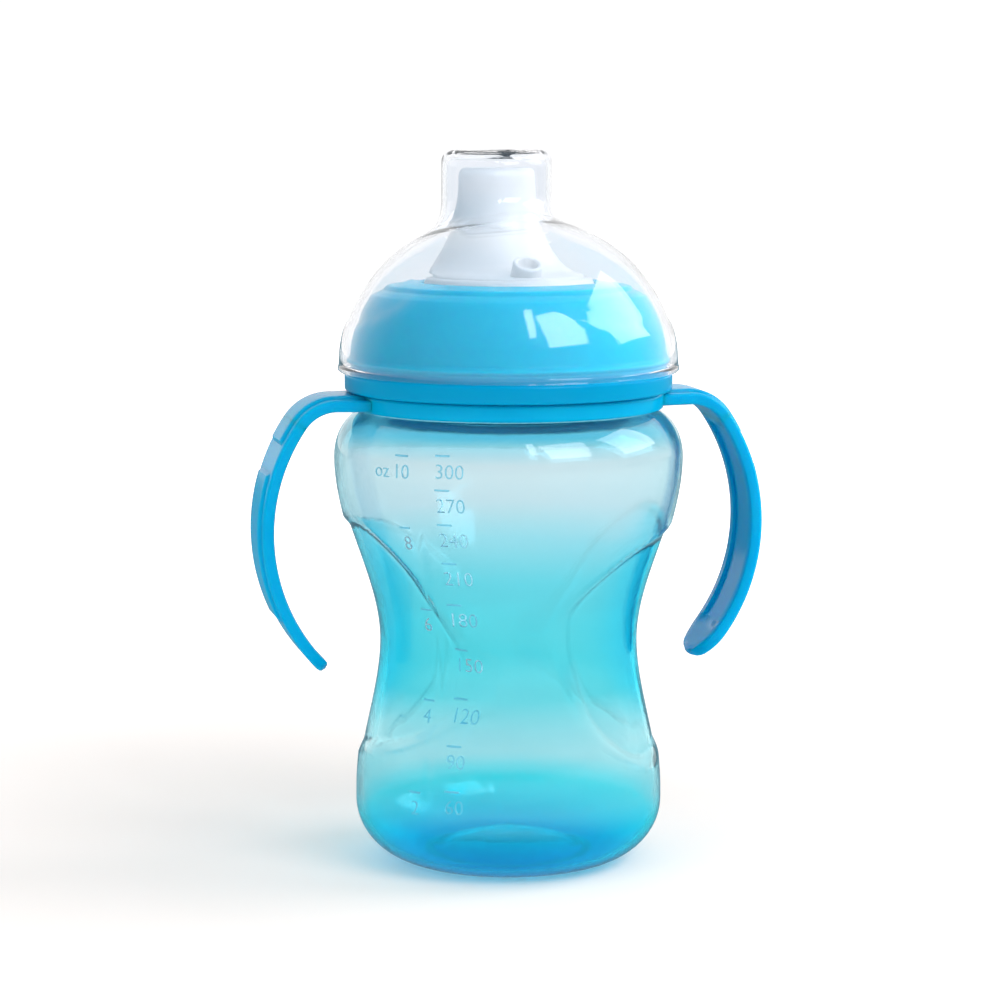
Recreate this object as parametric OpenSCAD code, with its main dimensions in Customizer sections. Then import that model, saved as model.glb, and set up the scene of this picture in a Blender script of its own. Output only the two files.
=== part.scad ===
// Two-handled sippy cup: bottle, handle ring, screw collar, soft spout and push-on overcap.
// Millimetres, +Z up. The origin is the centre of the base; the handles lie along X.

/* [Bottle] */
// Radius at the shoulder, the widest part of the bottle
shoulder_r = 39.6; // [39.4:0.1:40]
// Height of the widest part of the shoulder
shoulder_z = 93; // [91:0.5:94]
// Radius of the waist, before the finger grips are pressed in
waist_r = 31.6; // [31:0.1:33]
// Height of the waist
waist_z = 51; // [48:1:54]
// Radius of the foot, above its rounded edge
foot_r = 35; // [34:0.1:36]
// Radius of the flat ring that the bottle stands on
foot_flat_r = 19.5; // [17:0.5:22]
// Thickness of the bottle wall
wall = 1.5; // [1.2:0.1:1.8]
// Height of the pushed-up centre of the base
punt_h = 4; // [2:0.5:5]

/* [Finger grips] */
// Depth of each grip at the waist
grip_depth = 1.7; // [1:0.1:2]
// Height of the middle of each grip
grip_z = 53; // [51:0.5:54]
// Half the height of a grip
grip_half_h = 25; // [22:0.5:26]
// Half the width of a grip, measured across the bottle
grip_half_w = 29; // [27:0.5:30]
// Radius of the grip's corners
grip_corner = 15; // [12:1:18]
// Lean of each grip
grip_lean = 9; // [0:1:12]
// Turn of the grips about the bottle's axis, away from the handles
grip_turn = -11; // [-20:1:20]

/* [Neck and thread] */
// Radius of the neck between the threads
neck_r = 29.6; // [29.5:0.1:29.7]
// Height of the rim of the neck
rim_z = 120; // [119.5:0.5:120.5]
// Rise of the thread in one turn
pitch = 5; // [5:0.5:6]
// Turns of thread on the neck and in the collar
thread_turns = 1.25; // [1:0.25:1.25]
// How far the thread stands out of its wall
thread_h = 1.2; // [1:0.05:1.25]

/* [Handle ring] */
// Height of the underside of the ring
ring_z = 104; // [104:0.1:104.2]
// Thickness of the ring
ring_h = 3.8; // [3.6:0.1:3.9]
// Outer radius of the ring
ring_r = 35.2; // [35:0.1:36]
// Width of each handle strap
strap_w = 18; // [15:0.5:20]
// Thickness of each handle strap
strap_t = 2.7; // [2.5:0.1:3]
// Height of the grip pads on the strap
pad_t = 0.7; // [0.4:0.1:1]
// Radius of the big bend of each handle
bend_r = 45; // [44:0.5:46]
// Distance of that bend's centre from the bottle's axis
bend_x = 13.4; // [13:0.1:14]
// Height of that bend's centre
bend_z = 77.1; // [76.5:0.1:77.5]

/* [Collar] */
// Radius of the collar's skirt
skirt_r = 37.1; // [36.8:0.1:37.3]
// Radius of the opening for the spout
opening_r = 19.9; // [19.8:0.1:20.2]
// Height of the top of the collar
collar_top_z = 132.6; // [132.2:0.1:132.8]

/* [Spout and overcap] */
// Distance of the spout from the bottle's axis
spout_shift = 8.5; // [6:0.5:9]
// Turn of the spout and overcap about the bottle's axis
spout_turn = 6; // [0:1:12]
// Half the straight stretch across the oval spout
spout_flat = 2.5; // [1:0.5:3]
// Overall height of the cup
cup_h = 161.8; // [161.5:0.1:162.5]
// Radius of the overcap at its rim
cap_r = 38.4; // [38.3:0.1:38.8]
// Wall of the overcap
cap_wall = 1.3; // [1:0.1:1.4]
// Half the width of the overcap's neck
cap_neck_r = 12.8; // [12.6:0.1:13.5]

/* [Hidden] */
$fn = 64;
soft_blue = [0.30, 0.80, 0.92];
clear_plastic = [0.92, 0.94, 0.96, 0.5];
silicone = [0.88, 0.93, 0.93, 0.8];
cyan = [0.0, 0.65, 0.86];
over = 0.5;
corner_h = 14;
corner_w = foot_r - foot_flat_r;
foot_z = 16;
neck_wall = 2.1;
shoulder_rise = 11;
shoulder_run = 8.6;
bead_r = neck_r + 1.3;
bead_top_z = 107.4;
thread_z = 109.4;
steps_per_turn = 36;
root_half = 1.1;
crest_half = 0.55;
thread_bite = 0.4;
// The collar's thread hangs this far under the neck's thread when the collar is tight
mesh_drop = 1.65;
bore_r = neck_r + thread_h + 0.45;
ring_bore_r = bead_r + 0.3;
ring_top_z = ring_z + ring_h;
ring_gap = 0.3;
skirt_z = ring_top_z + 0.2;
// The tight bend by the ring touches the big bend of the handle from inside, at meet_a
tight_r = 12;
tight_z = ring_top_z - tight_r;
tight_x = bend_x + sqrt(pow(bend_r - tight_r, 2) - pow(tight_z - bend_z, 2));
meet_a = atan2(tight_z - bend_z, tight_x - bend_x);
cap_z = 112.4;
dome_z = 114;
dome_h = 33.5;
seal_t = 2;
clamp_z = rim_z + seal_t + 0.2;
dome_gap = 1.2;

function blend(t) = t * t * (3 - 2 * t);
function mix(a, b, t) = a + (b - a) * t;
function body_r(z, waist) = z < waist_z
    ? mix(foot_r, waist, blend((z - foot_z) / (waist_z - foot_z)))
    : mix(waist, shoulder_r, blend((z - waist_z) / (shoulder_z - waist_z)));

// Outline of the bottle's body from the foot to the neck, drawn in by t, with a given waist
function body_outline(t, waist) = concat(
    [for (a = [0:15:90])
        [foot_flat_r + (corner_w - t) * sin(a), t + (corner_h - t) * (1 - cos(a))]],
    [for (i = [0:20])
        let (z = mix(foot_z, shoulder_z, i / 20))
        [body_r(z, waist) - t, z]],
    [for (a = [15:15:75])
        [shoulder_r - shoulder_run + shoulder_run * cos(a) - t, shoulder_z + (shoulder_rise - t) * sin(a)]]);

// Half outline of the dome that the overcap and the collar share, drawn in by t
function dome_outline(t, from_a, to_a) =
    [for (a = [from_a:5:to_a]) [(cap_r - t) * cos(a), dome_z + (dome_h - t) * sin(a)]];

// A rotate_extrude stretched across X, for oval shapes about an upright axis
module oval_extrude(outline, half_flat) {
    for (side = [-1, 1])
        translate([side * half_flat, 0, 0])
            rotate_extrude() polygon(outline);
    translate([-half_flat, 0, 0])
        rotate([90, 0, 90])
            linear_extrude(2 * half_flat)
                for (side = [0, 1])
                    mirror([side, 0]) polygon(outline);
}

// One helical thread: a four-sided section swept along a right-hand helix
module thread(root_r, crest_r, z0, turns, from_a) {
    steps = turns * steps_per_turn;
    section = [[root_r, -root_half], [crest_r, -crest_half], [crest_r, crest_half], [root_r, root_half]];
    points = [for (i = [0:steps]) for (p = section)
        let (a = from_a + i * 360 / steps_per_turn)
        [p[0] * cos(a), p[0] * sin(a), p[1] + z0 + pitch * a / 360]];
    sides = [for (i = [0:steps - 1]) for (j = [0:3])
        [4 * i + j, 4 * i + 4 + j, 4 * i + 4 + (j + 1) % 4, 4 * i + (j + 1) % 4]];
    start_face = [[0, 1, 2, 3]];
    end_face = [[for (j = [3:-1:0]) 4 * steps + j]];
    out = crest_r > root_r;
    faces = concat(sides, start_face, end_face);
    turned = [for (f = faces) [for (k = [len(f) - 1:-1:0]) f[k]]];
    polyhedron(points, out ? turned : faces, convexity = 6);
}

// Rounded panel of a finger grip, as a prism across the bottle
module grip_prism(grow) {
    w = grip_half_w - grip_corner;
    h = grip_half_h - grip_corner;
    translate([0, 0, grip_z])
        rotate([grip_lean, 0, 0])
            rotate([90, 0, 90])
                linear_extrude(shoulder_r + 5) {
                    for (x = [-w, w]) for (y = [-h, h])
                        translate([x, y]) circle(grip_corner + grow);
                    square([2 * w, 2 * (grip_half_h + grow)], center = true);
                    square([2 * (grip_half_w + grow), 2 * h], center = true);
                }
}

// Solid of the bottle's body, drawn in by t, with both finger grips pressed in
module body_form(t) {
    top_z = ring_z - ring_gap - t;
    difference() {
        rotate_extrude()
            polygon(concat([[0, t + punt_h], [foot_flat_r - 6, t + 0.6 * punt_h], [foot_flat_r - 2.5, t]],
                body_outline(t, waist_r), [[neck_r - t, top_z], [0, top_z]]));
        for (turn = [grip_turn, grip_turn + 180])
            rotate([0, 0, turn])
                difference() {
                    grip_prism(t);
                    rotate_extrude()
                        polygon(concat([[0, t + 1]], body_outline(t + 0.3, waist_r - grip_depth),
                            [[0, top_z]]));
                }
    }
}

module bottle() {
    color(soft_blue) {
        difference() {
            union() {
                body_form(0);
                translate([0, 0, shoulder_z])
                    cylinder(r = neck_r, h = rim_z - shoulder_z);
                translate([0, 0, ring_z - 1])
                    cylinder(r = bead_r, h = bead_top_z - ring_z + 1);
            }
            body_form(wall);
            translate([0, 0, shoulder_z])
                cylinder(r = neck_r - neck_wall, h = rim_z - shoulder_z + over);
        }
        thread(neck_r - thread_bite, neck_r + thread_h, thread_z, thread_turns, 0);
    }
}

// One edge of a handle seen from the side, at a depth under its outer face: big bend, tight bend, root
function handle_edge(depth, from_a, to_a) = concat(
    [for (i = [0:16])
        let (a = mix(from_a, min(to_a, meet_a), i / 16))
        [bend_x + (bend_r - depth) * cos(a), bend_z + (bend_r - depth) * sin(a)]],
    to_a > meet_a
        ? [for (i = [1:6])
            let (a = mix(meet_a, min(to_a, 90), i / 6))
            [tight_x + (tight_r - depth) * cos(a), tight_z + (tight_r - depth) * sin(a)]]
        : [],
    to_a > 90 ? [[ring_r - 2, ring_top_z - depth]] : []);

// A slice of a handle's side view between two depths
module handle_side(outer, inner, from_a, to_a) {
    back = handle_edge(inner, from_a, to_a);
    polygon(concat(handle_edge(outer, from_a, to_a), [for (i = [len(back) - 1:-1:0]) back[i]]));
}

module handle() {
    tip_a = -47;
    tip_start_a = tip_a + strap_w / 2 * 360 / (2 * PI * bend_r);
    skin = pad_t;
    difference() {
        union() {
            rotate([90, 0, 0])
                linear_extrude(strap_w, center = true)
                    handle_side(skin, skin + strap_t, tip_start_a, 91);
            intersection() {
                rotate([90, 0, 0])
                    linear_extrude(strap_w, center = true)
                        handle_side(skin, skin + strap_t, tip_a, tip_start_a + 1);
                translate([bend_x, 0, bend_z])
                    rotate([0, 90 - tip_start_a, 0])
                        cylinder(r = strap_w / 2, h = 2 * bend_r);
            }
            // Two raised pads on the outer face, with a gap between them
            for (span = [[-26, 18], [27, 62]])
                rotate([90, 0, 0])
                    linear_extrude(strap_w - 5, center = true)
                        handle_side(0, skin + 1, span[0], span[1]);
            // Flared root under the collar
            translate([ring_r - 3, -strap_w / 2 - 2, ring_z])
                cube([4.5, strap_w + 4, ring_h - pad_t - 0.3]);
        }
        // Shallow channel along the inner face
        rotate([90, 0, 0])
            linear_extrude(strap_w - 7, center = true)
                handle_side(skin + strap_t - 0.7, skin + strap_t + 1, tip_a + 10, 30);
    }
}

module handle_ring() {
    color(cyan)
        difference() {
            union() {
                translate([0, 0, ring_z])
                    cylinder(r = ring_r, h = ring_h);
                for (turn = [0, 180])
                    rotate([0, 0, turn]) handle();
            }
            translate([0, 0, ring_z - 1])
                cylinder(r = ring_bore_r, h = ring_h + 2);
        }
}

module collar() {
    bead_z = cap_z + 2.6;
    color(cyan) {
        rotate_extrude()
            polygon(concat(
                [[bore_r, skirt_z], [skirt_r - 0.4, skirt_z], [skirt_r, skirt_z + 0.4],
                    [skirt_r, cap_z - 0.5], [skirt_r - 0.3, cap_z - 0.2], [skirt_r - 1.2, cap_z - 0.2],
                    [skirt_r - 1.2, bead_z - 0.8], [skirt_r - 0.5, bead_z - 0.2],
                    [skirt_r - 0.5, bead_z + 0.2], [skirt_r - 1.3, bead_z + 1]],
                dome_outline(cap_wall + dome_gap, 10, 30),
                [[29.6, 130.2], [28.4, 130.6], [27.6, 131.6], [opening_r + 1.5, collar_top_z],
                    [opening_r, collar_top_z - 0.4], [opening_r, 130.9], [25.4, 130.7],
                    [27.4, 128.6], [27.4, clamp_z], [bore_r, clamp_z]]));
        thread(bore_r + thread_bite, bore_r - thread_h, thread_z - mesh_drop, thread_turns, 200);
    }
}

// Outer and inner half outlines of the spout's tip, about the spout's own axis
spout_tip_outer = [[0, 131.6], [14.2, 131.6], [13.4, 134], [11.6, 136.6], [9.9, 139.8], [8.1, 144],
    [6.9, 148.5], [6.4, 152], [6.4, 155.6], [5.9, 157.2], [4.9, 157.8], [4.2, 157.8], [3.8, 157.2],
    [3.6, 154], [0, 154]];
spout_tip_inner = [[0, 130], [12.4, 130], [11.6, 133.2], [9.9, 135.8], [8.1, 139.2], [6.3, 143.6],
    [5.1, 148.5], [4.6, 151.6], [3.6, 152.2], [0, 152.2]];

// The oval tip about the spout's own axis, trimmed at the back to pass through the collar's opening
module spout_tip(outline, fit_r) {
    intersection() {
        translate([0, spout_shift, 0])
            oval_extrude(outline, spout_flat);
        cylinder(r = fit_r, h = cup_h);
    }
}

module spout() {
    slit_l = 5;
    slit_w = 0.3;
    vent_lean = 28;
    color(silicone)
        rotate([0, 0, spout_turn])
            difference() {
                union() {
                    rotate_extrude()
                        polygon([[0, rim_z - 3.5], [neck_r - neck_wall - 0.3, rim_z - 3.5],
                            [neck_r - neck_wall - 0.2, rim_z + 0.05], [neck_r + 1, rim_z + 0.05],
                            [neck_r + 1, rim_z + seal_t], [26.9, rim_z + seal_t], [26.6, 125.6], [25, 128.5],
                            [22.4, 130], [opening_r - 0.4, 130.4], [opening_r - 0.5, 132.6],
                            [opening_r - 1.8, 133.8], [12, 135], [0, 135.6]]);
                    spout_tip(spout_tip_outer, opening_r - 1);
                    vent_place(vent_lean) cylinder(r = 3.3, h = 4.2);
                }
                rotate_extrude()
                    polygon([[0, rim_z - 4], [25.2, rim_z - 4], [25.2, 121.5], [24.8, 124.8], [23.4, 127],
                        [21.6, 128.2], [opening_r - 2.2, 128.8], [opening_r - 2.4, 131.4], [12, 133], [0, 133.6]]);
                spout_tip(spout_tip_inner, opening_r - 2.6);
                // Drinking slit through the membrane in the tip, and the vent's well and pinhole
                translate([-slit_l / 2, spout_shift - slit_w / 2, 151])
                    cube([slit_l, slit_w, 4]);
                vent_place(vent_lean) translate([0, 0, 1.2]) cylinder(r = 2.1, h = 4);
                vent_place(vent_lean) translate([0, 0, -4]) cylinder(r = 0.4, h = 8);
            }
}

module vent_place(lean) {
    translate([0, -11.6, 133.4])
        rotate([lean, 0, 0])
            children();
}

module overcap() {
    top_corner = 2.4;
    // A small rib inside the rim rests on the collar's shelf and passes its bead
    rib_r = skirt_r - 0.35;
    // The fillet arc has its centre outside the neck and ends on a 45 degree slope
    fillet = 7.5;
    fillet_z = 150.6;
    fillet_x = cap_neck_r - spout_flat + fillet;
    neck_outer = function (t) concat(
        [[0, cup_h - t]],
        [for (a = [90:-30:0])
            [cap_neck_r - spout_flat - top_corner + (top_corner - t) * cos(a),
                cup_h - top_corner + (top_corner - t) * sin(a)]],
        [for (a = [180:15:225])
            [fillet_x + (fillet + t) * cos(a), fillet_z + (fillet + t) * sin(a)]],
        [[fillet_x + (fillet + t) * cos(225) + 3, fillet_z + (fillet + t) * sin(225) - 4],
            [fillet_x + (fillet + t) * cos(225) + 5, fillet_z + (fillet + t) * sin(225) - 8],
            [0, fillet_z + (fillet + t) * sin(225) - 8]]);
    color(clear_plastic)
        rotate([0, 0, spout_turn])
            difference() {
                union() {
                    rotate_extrude()
                        polygon(concat([[0, cap_z], [cap_r, cap_z], [cap_r + 0.3, cap_z + 0.5], [cap_r + 0.2, cap_z + 1.2]],
                            dome_outline(0, 0, 90)));
                    translate([0, spout_shift, 0])
                        oval_extrude(neck_outer(0), spout_flat);
                }
                rotate_extrude()
                    polygon(concat([[0, cap_z - 1], [rib_r, cap_z - 1], [rib_r, cap_z + 0.9],
                            [cap_r - cap_wall, cap_z + 1.3]],
                        dome_outline(cap_wall, 0, 90)));
                translate([0, spout_shift, 0])
                    oval_extrude(neck_outer(cap_wall), spout_flat);
            }
}

bottle();
handle_ring();
collar();
spout();
overcap();
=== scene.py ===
"""Looks of a two-handled sippy cup.

It has a see-through bottle, a handle ring, a screw collar, a soft spout and a clear overcap.
Outlines are given in millimetres, as (radius, height) or (radius, height, corner rounding).
"""
from math import atan2, cos, degrees, exp, hypot, pi, radians, sin, sqrt

import bmesh
import bpy
from mathutils import Matrix, Vector


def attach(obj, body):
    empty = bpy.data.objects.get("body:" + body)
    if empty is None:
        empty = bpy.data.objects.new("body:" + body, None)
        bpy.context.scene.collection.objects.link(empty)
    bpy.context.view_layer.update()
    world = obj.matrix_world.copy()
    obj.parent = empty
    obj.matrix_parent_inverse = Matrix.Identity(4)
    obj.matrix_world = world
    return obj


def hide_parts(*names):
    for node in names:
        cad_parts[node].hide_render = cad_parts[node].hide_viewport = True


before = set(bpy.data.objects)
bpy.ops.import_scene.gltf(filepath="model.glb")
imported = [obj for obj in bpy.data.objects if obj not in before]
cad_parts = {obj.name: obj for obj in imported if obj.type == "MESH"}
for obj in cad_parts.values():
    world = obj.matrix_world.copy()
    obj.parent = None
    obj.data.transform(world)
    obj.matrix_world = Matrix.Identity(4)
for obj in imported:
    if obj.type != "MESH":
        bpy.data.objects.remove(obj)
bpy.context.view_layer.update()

MM = 0.001
UP = Vector((0, 0, 1))

# Bottle
FOOT_FLAT_R = 19.5
FOOT_R = 35
FOOT_Z = 16
CORNER_H = 14
WAIST_R = 31.6
WAIST_Z = 51
SHOULDER_R = 39.6
SHOULDER_Z = 93
SHOULDER_RUN = 8.6
SHOULDER_RISE = 11
SHOULDER_SWEEP = 78
PUNT_H = 4
WALL = 1.5
NECK_R = 29.6
NECK_BORE_R = 27.5
RIM_Z = 120
PITCH = 5
THREAD_TURNS = 1.25
BOTTLE_STEPS = 256
BODY_ROWS = 108
ARC_STEPS = 14
SEAM_A = -133.6
SEAM_HALF_A = 0.71
SEAM_RISE = 0.12

# Finger grips
GRIP_TURN = -11
GRIP_LEAN = 9
GRIP_Z = 53
GRIP_HALF_W = 29
GRIP_HALF_H = 25
GRIP_CORNER = 15
GRIP_DEPTH = 1.7
GRIP_STEP = 0.55
GRIP_FLANK_STEP = 0.7
GRIP_REACH_A = 85
GRIP_LOW_Z = 20
GRIP_HIGH_Z = 90
GRIP_SHADE = 0.9
LEDGE_LOW = 3.0
LEDGE_HIGH = 1.8
LEDGE_OUT_LOW = 3.0
LEDGE_OUT_HIGH = 0.6

# Raised volume scale
ML_MARKS = ((60, 22), (90, 32), (120, 42), (150, 53), (180, 63.5), (210, 73), (240, 81.8), (270, 89.5),
            (300, 97))
OZ_MARKS = ((2, 21), (4, 41), (6, 61.5), (8, 80.5), (10, 96.5))
ML_A = -126.3
OZ_A = -138.6
OZ_UNIT_A = OZ_A - 8
OZ_DASH_A = OZ_A - 2.6
DIGIT_SIZE = 4.6
MARK_LIFT = 0.12
DIGIT_RISE = 0.1
DIGIT_THINNING = -0.06
DASH_GAP = 1.3
DASH_H = 0.42
DASH_W = 3.4
SHORT_DASH_W = 2.8

# Handle ring
RING_Z = 104
RING_TOP_Z = 107.8
RING_R = 35.2
BEND_R = 45
BEND_X = 13.4
BEND_Z = 77.1
TIGHT_R = 12
TIGHT_Z = RING_TOP_Z - TIGHT_R
TIGHT_X = BEND_X + sqrt((BEND_R - TIGHT_R) ** 2 - (TIGHT_Z - BEND_Z) ** 2)
MEET_A = degrees(atan2(TIGHT_Z - BEND_Z, TIGHT_X - BEND_X))
TIP_A = -47
STRAP_W = 18
STRAP_T = 2.7
PAD_T = 0.7
PAD_SPANS = ((-26, 18), (27, 62))
PAD_HALF_W = 6.5
PAD_EDGE = 0.8
CHANNEL_HALF_W = 5.5
CHANNEL_DEPTH = 0.7
TIP_LEAST = 0.16
TIP_ROUND = 2.2
ROOT_FLARE = 0.22

# Collar, spout and overcap
COLLAR_BORE_R = 31.25
COLLAR_STEPS = 192
SPOUT_SHIFT = 8.5
SPOUT_TURN = 6
SPOUT_FLAT = 2.5
CAP_Z = 112.4
CAP_R = 38.4
CAP_WALL = 1.3
DOME_Z = 114
DOME_H = 33.5
CUP_H = 161.8
CAP_NECK_R = 10.3
CAP_FILLET_R = 7.0
CAP_FILLET_Z = 151.2
CAP_TOP_CORNER = 2.6
CAP_JOIN_R = 15.6
CAP_BLEND_R = 33
SCOOP_TURN = -24
SCOOP_HALF = 58
SCOOP_Z = 122.5
SCOOP_DEPTH = 0.55
VENT_Y = -11.6
VENT_Z = 133.4
VENT_LEAN = 28
SLIT_SIZE = (5, 0.25, 0.5)
SLIT_Z = 153.8


def mix(a, b, t):
    return a + (b - a) * t


def ease(t):
    t = min(1.0, max(0.0, t))
    return t * t * (3 - 2 * t)


# ---------------------------------------------------------------- shapes

def add_outline(bm, points, closed=True):
    """Puts an outline in the XZ plane. The corners of a closed one are rounded."""
    corners = [bm.verts.new((p[0] * MM, 0, p[1] * MM)) for p in points]
    if not closed:
        for pair in zip(corners, corners[1:]):
            bm.edges.new(pair)
        return
    bm.faces.new(corners)
    widths = sorted({p[2] for p in points if len(p) > 2})
    for width in widths:
        chosen = [v for v, p in zip(corners, points) if v.is_valid and len(p) > 2 and p[2] == width]
        bmesh.ops.bevel(bm, geom=chosen, offset=width * MM, offset_type="OFFSET", segments=4, profile=0.5,
                        affect="VERTICES", material=-1, clamp_overlap=True)
    bmesh.ops.delete(bm, geom=list(bm.faces), context="FACES_ONLY")


def absorb_part(bm, part):
    """Moves all of one mesh into another."""
    mesh = bpy.data.meshes.new("part")
    part.to_mesh(mesh)
    part.free()
    bm.from_mesh(mesh)
    bpy.data.meshes.remove(mesh)


def spun(points, steps=160, closed=True):
    """A solid of revolution about the upright axis. A stretch that lies on the axis isn't spun."""
    bm = bmesh.new()
    add_outline(bm, points, closed)
    if closed:
        on_axis = [e for e in bm.edges if max(abs(v.co.x) for v in e.verts) < 1e-7]
        bmesh.ops.delete(bm, geom=on_axis, context="EDGES")
    profile = list(bm.verts) + list(bm.edges)
    bmesh.ops.spin(bm, geom=profile, cent=(0, 0, 0), axis=UP, angle=2 * pi, steps=steps, use_merge=True)
    bmesh.ops.remove_doubles(bm, verts=bm.verts, dist=1e-6)
    bmesh.ops.recalc_face_normals(bm, faces=bm.faces)
    return bm


def add_thread(bm, root_r, crest_r, start_z, start_a):
    """One right-hand helical thread, swept from a four-sided section."""
    steps = 90
    section = [(root_r, -1.1), (crest_r, -0.5), (crest_r, 0.5), (root_r, 1.1)]
    first = len(bm.verts)
    corners = [bm.verts.new((r * MM, 0, z * MM)) for r, z in section]
    face = bm.faces.new(corners)
    bmesh.ops.spin(bm, geom=[face], cent=(0, 0, 0), axis=UP, angle=2 * pi * THREAD_TURNS, steps=steps,
                   dvec=UP * (PITCH * THREAD_TURNS / steps * MM))
    bmesh.ops.holes_fill(bm, edges=[e for e in bm.edges if e.is_boundary], sides=4)
    bm.verts.ensure_lookup_table()
    mine = bm.verts[first:]
    turn = Matrix.Rotation(radians(start_a), 4, "Z")
    dome_light = (start_z + PITCH * start_a / 360) * MM
    for v in mine:
        v.co = turn @ v.co + UP * dome_light
    bmesh.ops.recalc_face_normals(bm, faces=bm.faces)


def finish_piece(bm, name, body, material, nodes=(), sharp=35):
    """Makes the object, smooth-shaded apart from edges sharper than the angle, and rides it on its body."""
    for face in bm.faces:
        face.smooth = True
    for edge in bm.edges:
        edge.smooth = edge.calc_face_angle(0) < radians(sharp)
    mesh = bpy.data.meshes.new(name)
    bm.to_mesh(mesh)
    bm.free()
    mesh.materials.append(material)
    piece = bpy.data.objects.new(name, mesh)
    bpy.context.scene.collection.objects.link(piece)
    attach(piece, body)
    if nodes:
        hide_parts(*nodes)
    return piece


def turned(bm, angle):
    bmesh.ops.rotate(bm, verts=bm.verts, cent=(0, 0, 0), matrix=Matrix.Rotation(radians(angle), 3, "Z"))


# ---------------------------------------------------------------- bottle

def body_r(z, waist=WAIST_R):
    if z < WAIST_Z:
        return mix(FOOT_R, waist, ease((z - FOOT_Z) / (WAIST_Z - FOOT_Z)))
    return mix(waist, SHOULDER_R, ease((z - WAIST_Z) / (SHOULDER_Z - WAIST_Z)))


def body_outline(inset):
    """The bottle's side from the foot to the top of the shoulder, drawn in by the inset."""
    foot = []
    corner_w = FOOT_R - FOOT_FLAT_R - inset
    for i in range(ARC_STEPS + 1):
        a = radians(90 * i / ARC_STEPS)
        foot.append((FOOT_FLAT_R + corner_w * sin(a), inset + (CORNER_H - inset) * (1 - cos(a))))
    side = []
    for i in range(BODY_ROWS + 1):
        z = mix(FOOT_Z, SHOULDER_Z, i / BODY_ROWS)
        side.append((body_r(z) - inset, z))
    shoulder = []
    for i in range(1, ARC_STEPS + 1):
        a = radians(SHOULDER_SWEEP * i / ARC_STEPS)
        shoulder.append((SHOULDER_R - SHOULDER_RUN + SHOULDER_RUN * cos(a) - inset,
                         SHOULDER_Z + (SHOULDER_RISE - inset) * sin(a)))
    return foot + side + shoulder


def grip_places(angle, z):
    """Distances across and up from the middle of each grip that faces this way."""
    places = []
    for turn in (GRIP_TURN, GRIP_TURN + 180):
        across = (angle - turn + 180) % 360 - 180
        if abs(across) > GRIP_REACH_A:
            continue
        y = body_r(z) * sin(radians(across))
        h = z - GRIP_Z
        lean = radians(GRIP_LEAN)
        places.append((y * cos(lean) + h * sin(lean), h * cos(lean) - y * sin(lean)))
    return places


def grip_depth_of_colour(angle, z):
    """Painted shade in the grip recesses: the colour is deeper towards the middle of a grip and away from its
    lower ledge.
    """
    depth = 0
    for u, v in grip_places(angle, z):
        inwards = ease((GRIP_HALF_W - 2 - abs(u)) / (0.75 * GRIP_HALF_W))
        depth += GRIP_SHADE * inwards * ease((v + GRIP_HALF_H - 2) / 16)
    return depth


def grip_press(angle, z):
    """How far the wall is pressed in at this place, in millimetres."""
    press = 0
    for u, v in grip_places(angle, z):
        out_u = abs(u) - (GRIP_HALF_W - GRIP_CORNER)
        out_v = abs(v) - (GRIP_HALF_H - GRIP_CORNER)
        inside = GRIP_CORNER - hypot(max(out_u, 0), max(out_v, 0)) - min(max(out_u, out_v), 0)
        upper = ease((v + GRIP_HALF_H) / (1.5 * GRIP_HALF_H))
        ledge = mix(LEDGE_LOW, LEDGE_HIGH, upper)
        outside = mix(LEDGE_OUT_LOW, LEDGE_OUT_HIGH, upper)
        flank = GRIP_FLANK_STEP * ease((abs(u) - 8) / 9)
        floor = body_r(z) - body_r(z, WAIST_R - GRIP_DEPTH) + GRIP_STEP + mix(flank, 0, upper)
        press += floor * min(1.0, max(0.0, (inside + outside) / ledge))
    return press


def wall_r(angle, z):
    return body_r(z) - grip_press(angle, z)


def from_seam(angle):
    """Degrees to the nearer of the mould's two parting lines."""
    across = (angle - SEAM_A + 180) % 360 - 180
    return min(abs(across), 180 - abs(across))


def build_bottle(material):
    outer = body_outline(0)
    inner = body_outline(WALL)
    under = [(0, PUNT_H), (6, PUNT_H - 0.1), (12, 2.9), (15, 1.4), (17, 0)]
    floor = [(17.5, WALL + 0.1), (15, WALL + 1.3), (12, WALL + 2.8), (6, WALL + PUNT_H - 0.1),
             (0, WALL + PUNT_H)]
    neck = [(NECK_R + 1.3, 103.75), (NECK_R + 1.3, 104.3), (NECK_R + 1.3, 107.1), (NECK_R + 1, 107.4),
            (NECK_R, 107.6), (NECK_R, RIM_Z - 0.4), (NECK_R - 0.4, RIM_Z), (NECK_BORE_R + 0.4, RIM_Z),
            (NECK_BORE_R, RIM_Z - 0.4), (NECK_BORE_R, 103)]
    points = under + outer + neck + inner[::-1] + floor
    bm = spun(points, steps=BOTTLE_STEPS, closed=False)
    grip = bm.verts.layers.float.new("grip")
    for v in bm.verts:
        x, y, z = v.co / MM
        r = hypot(x, y)
        if r < FOOT_FLAT_R + 0.5 or not GRIP_LOW_Z < z < GRIP_HIGH_Z:
            continue
        angle = degrees(atan2(y, x))
        press = grip_press(angle, z)
        r_new = r - press
        # Painted shade, deeper in the grip recesses, kept in the mesh's grip attribute
        v[grip] = ease(press / 0.5) * grip_depth_of_colour(angle, z)
        # The parting lines stand a little proud of the outside
        if from_seam(angle) < SEAM_HALF_A and r > body_r(z) - 0.5:
            r_new += SEAM_RISE
        v.co.x *= r_new / r
        v.co.y *= r_new / r
    finish_piece(bm, "bottle_shell", "bottle", material, ["bottle"], sharp=50)

    bm = bmesh.new()
    add_thread(bm, NECK_R - 0.4, NECK_R + 1.2, 109.4, 0)
    finish_piece(bm, "bottle_thread", "bottle", material)


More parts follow.
